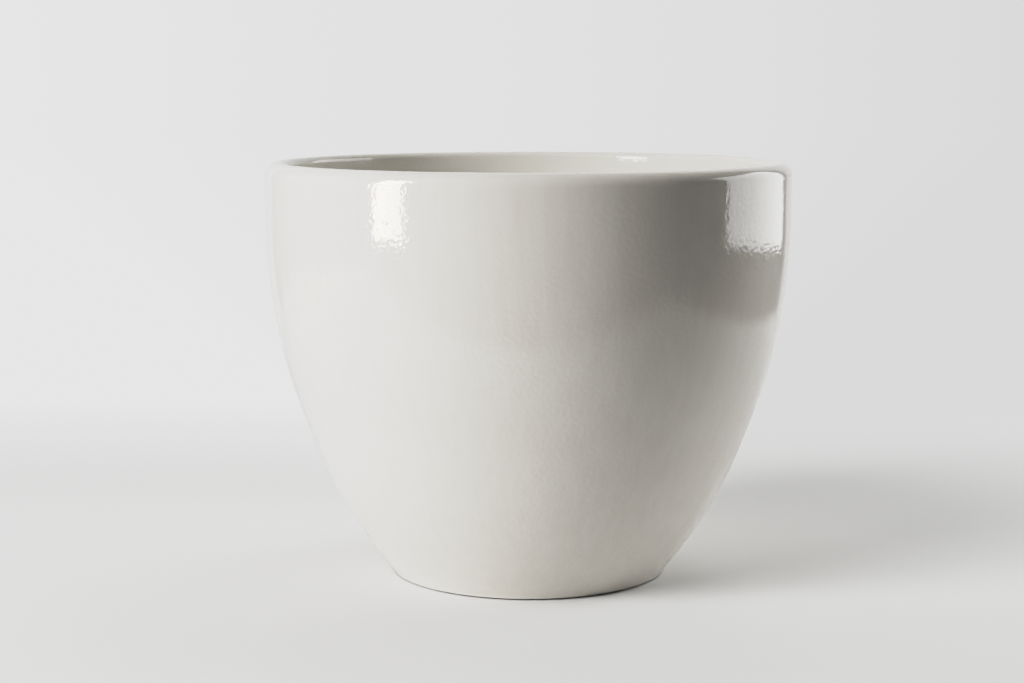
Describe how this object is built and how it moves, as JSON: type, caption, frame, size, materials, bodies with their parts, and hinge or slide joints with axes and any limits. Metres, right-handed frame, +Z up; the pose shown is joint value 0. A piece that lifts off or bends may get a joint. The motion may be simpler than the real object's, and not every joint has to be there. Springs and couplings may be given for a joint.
{
  "type": "plant pot",
  "caption": "Round glazed planter pot, flared from a narrow foot ring to an upright rim band with a rounded lip; a lift-out rubber stopper closes its drain hole.",
  "frame": {"origin": "on the pot's axis, in the plane that the foot ring rests on", "axes": "+Z up along the axis of revolution; +X and +Y are alike, since the pot is round"},
  "size_m": [0.2, 0.2, 0.158],
  "materials": {
    "fired_clay": "bare fired terracotta, matt and slightly sandy",
    "glaze": "glossy off-white glaze with a faint orange peel",
    "stopper_rubber": "satin moulded rubber"
  },
  "bodies": {
    "pot": {"clay_body": "fired_clay", "glaze_coat": "glaze"},
    "stopper": {"drain_stopper": "stopper_rubber"}
  },
  "joints": [
    {"name": "stopper_lift", "type": "slide", "parent": "pot", "child": "stopper", "axis": [0, 0, 1], "range_m": [0, 0.165]}
  ]
}
